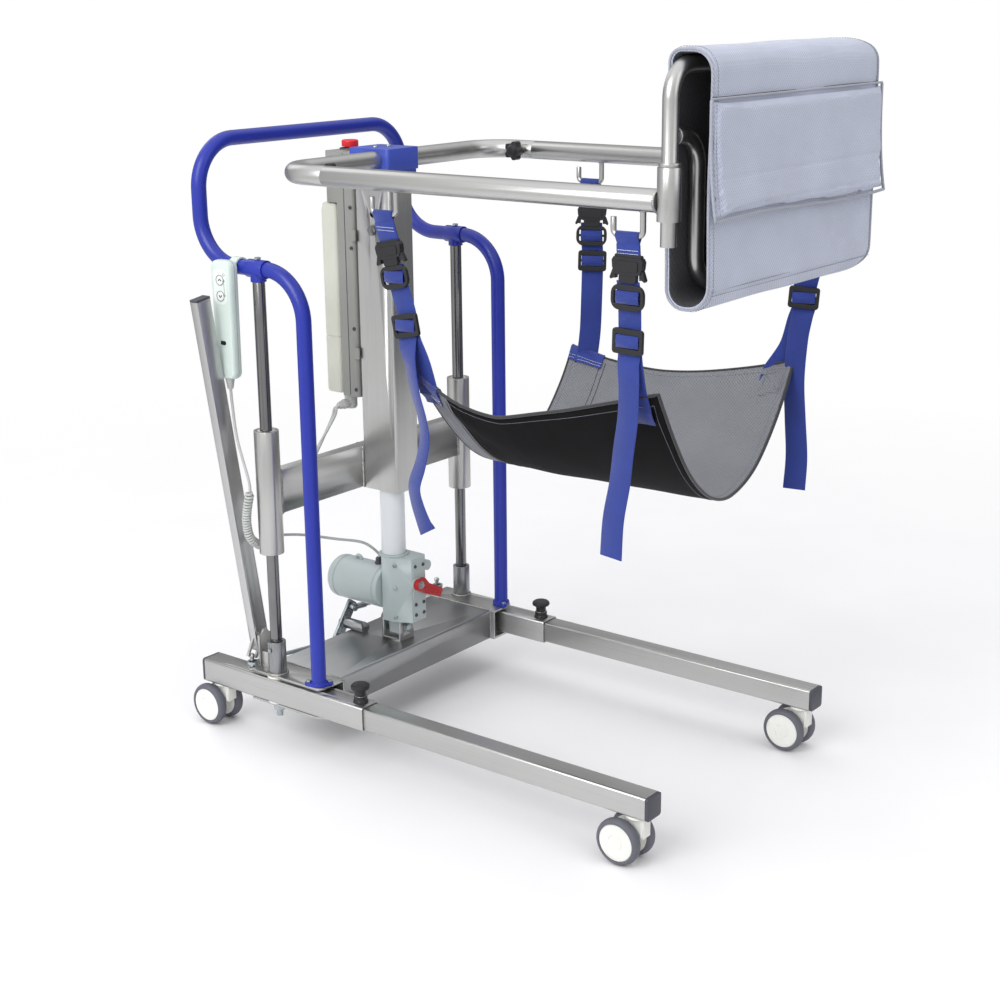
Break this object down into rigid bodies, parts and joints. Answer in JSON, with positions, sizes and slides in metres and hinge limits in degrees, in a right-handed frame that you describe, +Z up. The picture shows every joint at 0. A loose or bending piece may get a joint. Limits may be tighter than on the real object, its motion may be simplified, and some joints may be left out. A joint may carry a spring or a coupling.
{
  "type": "patient lift hoist",
  "caption": "Wheeled stand-up patient lift with spreading legs, guided electric lift carriage, padded arm ring with swing-open back, seat sling and push handle.",
  "frame": {"origin": "on the floor, straight under the lift actuator's and the mast's common axis", "axes": "+Z up, +X towards the lifted person and the front of the legs, +Y to the hoist's left"},
  "size_m": [1.112, 0.6692, 1.27],
  "materials": {
    "stainless": "brushed stainless steel",
    "polished_rod": "ground and polished steel",
    "zinc": "zinc plated",
    "lever_steel": "dark brushed steel",
    "blue_paint": "glossy blue powder coat",
    "dark_plastic": "moulded dark grey plastic",
    "rubber": "black rubber",
    "nylon": "white nylon",
    "actuator_grey": "light grey paint, fine orange peel",
    "actuator_white": "white satin tube",
    "release_red": "red moulded plastic",
    "caster_white": "white moulded nylon",
    "caster_tyre": "grey polyurethane",
    "box_grey": "light grey fine-grained plastic",
    "battery_cream": "cream fine-grained plastic",
    "hand_mint": "pale mint plastic",
    "button_grey": "grey membrane button",
    "pad_fabric": "grey-blue spacer fabric, piped edges",
    "sling_fabric": "grey mesh over black lining",
    "blue_webbing": "blue woven webbing"
  },
  "bodies": {
    "base": {"base_channels": "stainless", "base_deck": "stainless", "guide_sockets": "stainless", "guide_rods": "polished_rod", "push_handle": "blue_paint", "handle_collars": "blue_paint", "base_bolts": "zinc", "leg_bumpers": "rubber", "leg_pivot_bolts": "zinc", "pivot_washers": "nylon", "actuator_bracket": "stainless", "gearbox": "actuator_grey", "actuator_motor": "actuator_grey", "actuator_tube": "actuator_white"},
    "release_lever": {"release_lever": "release_red"},
    "right_leg": {"right_leg_tube": "stainless", "right_rear_cap": "dark_plastic"},
    "right_front_leg": {"right_front_leg": "stainless", "right_front_cap": "dark_plastic"},
    "right_leg_knob": {"right_leg_knob": "dark_plastic"},
    "left_leg": {"left_leg_tube": "stainless", "left_rear_cap": "dark_plastic"},
    "left_front_leg": {"left_front_leg": "stainless", "left_front_cap": "dark_plastic"},
    "left_leg_knob": {"left_leg_knob": "dark_plastic"},
    "crank": {"crank_plate": "zinc"},
    "tie_rod_right": {"tie_rod_right": "zinc"},
    "tie_rod_left": {"tie_rod_left": "zinc"},
    "spread_lever": {"spread_lever": "lever_steel", "lever_cap": "dark_plastic"},
    "carriage": {"guide_sleeves": "stainless", "slide_bushes": "nylon", "crossbeam": "stainless", "mast": "stainless", "mast_cap": "blue_paint", "actuator_rod": "polished_rod", "rear_arm_bar": "stainless", "control_box": "box_grey"},
    "right_arm_knob": {"right_arm_knob": "dark_plastic"},
    "left_arm_knob": {"left_arm_knob": "dark_plastic"},
    "battery": {"battery_pack": "battery_cream"},
    "stop_button": {"stop_button": "release_red"},
    "arms": {"front_arms": "stainless", "sling_seat": "sling_fabric", "sling_straps": "blue_webbing", "strap_buckles": "dark_plastic"},
    "back_gate": {"gate_frame": "stainless", "back_pad": "pad_fabric"},
    "gate_latch": {"gate_latch": "zinc"},
    "hand_control": {"hand_control": "hand_mint"},
    "up_button": {"up_button": "button_grey"},
    "down_button": {"down_button": "button_grey"},
    "caster_front_right": {"caster_fork_front_right": "caster_white"},
    "wheels_front_right": {"caster_wheels_front_right": "caster_tyre"},
    "caster_front_left": {"caster_fork_front_left": "caster_white"},
    "wheels_front_left": {"caster_wheels_front_left": "caster_tyre"},
    "caster_rear_right": {"caster_fork_rear_right": "caster_white"},
    "wheels_rear_right": {"caster_wheels_rear_right": "caster_tyre"},
    "caster_rear_left": {"caster_fork_rear_left": "caster_white"},
    "wheels_rear_left": {"caster_wheels_rear_left": "caster_tyre"}
  },
  "joints": [
    {"name": "lift", "type": "slide", "parent": "base", "child": "carriage", "axis": [0, 0, 1], "range_m": [-0.12, 0.25]},
    {"name": "right_leg_spread", "type": "hinge", "parent": "base", "child": "right_leg", "pos_m": [-0.0545, -0.271, 0.107], "axis": [0, 0, -1], "range_deg": [0, 20]},
    {"name": "left_leg_spread", "type": "hinge", "parent": "base", "child": "left_leg", "pos_m": [-0.0545, 0.271, 0.107], "axis": [0, 0, 1], "range_deg": [0, 20]},
    {"name": "right_front_leg_slide", "type": "slide", "parent": "right_leg", "child": "right_front_leg", "axis": [1, 0, 0], "range_m": [0, 0.08]},
    {"name": "left_front_leg_slide", "type": "slide", "parent": "left_leg", "child": "left_front_leg", "axis": [1, 0, 0], "range_m": [0, 0.08]},
    {"name": "right_leg_knob_pull", "type": "slide", "parent": "right_leg", "child": "right_leg_knob", "axis": [0, 0, 1], "range_m": [0, 0.008]},
    {"name": "left_leg_knob_pull", "type": "slide", "parent": "left_leg", "child": "left_leg_knob", "axis": [0, 0, 1], "range_m": [0, 0.008]},
    {"name": "swivel_front_right", "type": "hinge", "parent": "right_front_leg", "child": "caster_front_right", "pos_m": [0.743, -0.271, 0.08], "axis": [0, 0, 1], "continuous": true},
    {"name": "roll_front_right", "type": "hinge", "parent": "caster_front_right", "child": "wheels_front_right", "pos_m": [0.721, -0.271, 0.04], "axis": [0, 1, 0], "continuous": true},
    {"name": "swivel_front_left", "type": "hinge", "parent": "left_front_leg", "child": "caster_front_left", "pos_m": [0.743, 0.271, 0.08], "axis": [0, 0, 1], "continuous": true},
    {"name": "roll_front_left", "type": "hinge", "parent": "caster_front_left", "child": "wheels_front_left", "pos_m": [0.721, 0.271, 0.04], "axis": [0, 1, 0], "continuous": true},
    {"name": "swivel_rear_right", "type": "hinge", "parent": "right_leg", "child": "caster_rear_right", "pos_m": [-0.2, -0.271, 0.08], "axis": [0, 0, 1], "continuous": true},
    {"name": "roll_rear_right", "type": "hinge", "parent": "caster_rear_right", "child": "wheels_rear_right", "pos_m": [-0.222, -0.271, 0.04], "axis": [0, 1, 0], "continuous": true},
    {"name": "swivel_rear_left", "type": "hinge", "parent": "left_leg", "child": "caster_rear_left", "pos_m": [-0.2, 0.271, 0.08], "axis": [0, 0, 1], "continuous": true},
    {"name": "roll_rear_left", "type": "hinge", "parent": "caster_rear_left", "child": "wheels_rear_left", "pos_m": [-0.222, 0.271, 0.04], "axis": [0, 1, 0], "continuous": true},
    {"name": "crank_turn", "type": "hinge", "parent": "base", "child": "crank", "pos_m": [-0.11, -0.02, 0.147], "axis": [1, 0, 0], "range_deg": [0, 41]},
    {"name": "tie_rod_left_turn", "type": "hinge", "parent": "crank", "child": "tie_rod_left", "pos_m": [-0.11, -0.00002, 0.17451], "axis": [-1, 0, 0], "range_deg": [0, 42.34]},
    {"name": "tie_rod_right_turn", "type": "hinge", "parent": "crank", "child": "tie_rod_right", "pos_m": [-0.11, -0.03998, 0.11949], "axis": [-1, 0, 0], "range_deg": [0, 42.57]},
    {"name": "lever_swing", "type": "hinge", "parent": "base", "child": "spread_lever", "pos_m": [-0.122, -0.2514, 0.1926], "axis": [1, 0, 0], "range_deg": [0, 30]},
    {"name": "arms_slide", "type": "slide", "parent": "carriage", "child": "arms", "axis": [1, 0, 0], "range_m": [0, 0.06]},
    {"name": "right_arm_knob_turn", "type": "hinge", "parent": "carriage", "child": "right_arm_knob", "pos_m": [0.106, -0.26, 1.058], "axis": [0, 1, 0], "continuous": true},
    {"name": "left_arm_knob_turn", "type": "hinge", "parent": "carriage", "child": "left_arm_knob", "pos_m": [0.106, 0.26, 1.058], "axis": [0, 1, 0], "continuous": true},
    {"name": "battery_release", "type": "slide", "parent": "carriage", "child": "battery", "axis": [-1, 0, 0], "range_m": [0, 0.04]},
    {"name": "stop_press", "type": "slide", "parent": "carriage", "child": "stop_button", "axis": [0, 0, -1], "range_m": [0, 0.004]},
    {"name": "gate_swing", "type": "hinge", "parent": "arms", "child": "back_gate", "pos_m": [0.793, -0.288, 1.05], "axis": [0, 0, -1], "range_deg": [0, 110]},
    {"name": "latch_close", "type": "hinge", "parent": "arms", "child": "gate_latch", "pos_m": [0.772, 0.276, 1.085], "axis": [0, 0, -1], "range_deg": [0, 50]},
    {"name": "release_turn", "type": "hinge", "parent": "base", "child": "release_lever", "pos_m": [0.064, -0.001, 0.256], "axis": [1, 0, 0], "range_deg": [0, 45]},
    {"name": "hand_control_lift", "type": "slide", "parent": "base", "child": "hand_control", "axis": [0, 0, 1], "range_m": [0, 0.05]},
    {"name": "up_press", "type": "slide", "parent": "hand_control", "child": "up_button", "axis": [0, 1, 0], "range_m": [0, 0.0015]},
    {"name": "down_press", "type": "slide", "parent": "hand_control", "child": "down_button", "axis": [0, 1, 0], "range_m": [0, 0.0015]}
  ],
  "couplings": [
    {"joint": "left_leg_spread", "follows": "right_leg_spread", "ratio": 1},
    {"joint": "crank_turn", "follows": "right_leg_spread", "ratio": 2.05},
    {"joint": "tie_rod_left_turn", "follows": "right_leg_spread", "ratio": 2.1163},
    {"joint": "tie_rod_right_turn", "follows": "right_leg_spread", "ratio": 2.1282},
    {"joint": "lever_swing", "follows": "right_leg_spread", "ratio": 1.5}
  ]
}
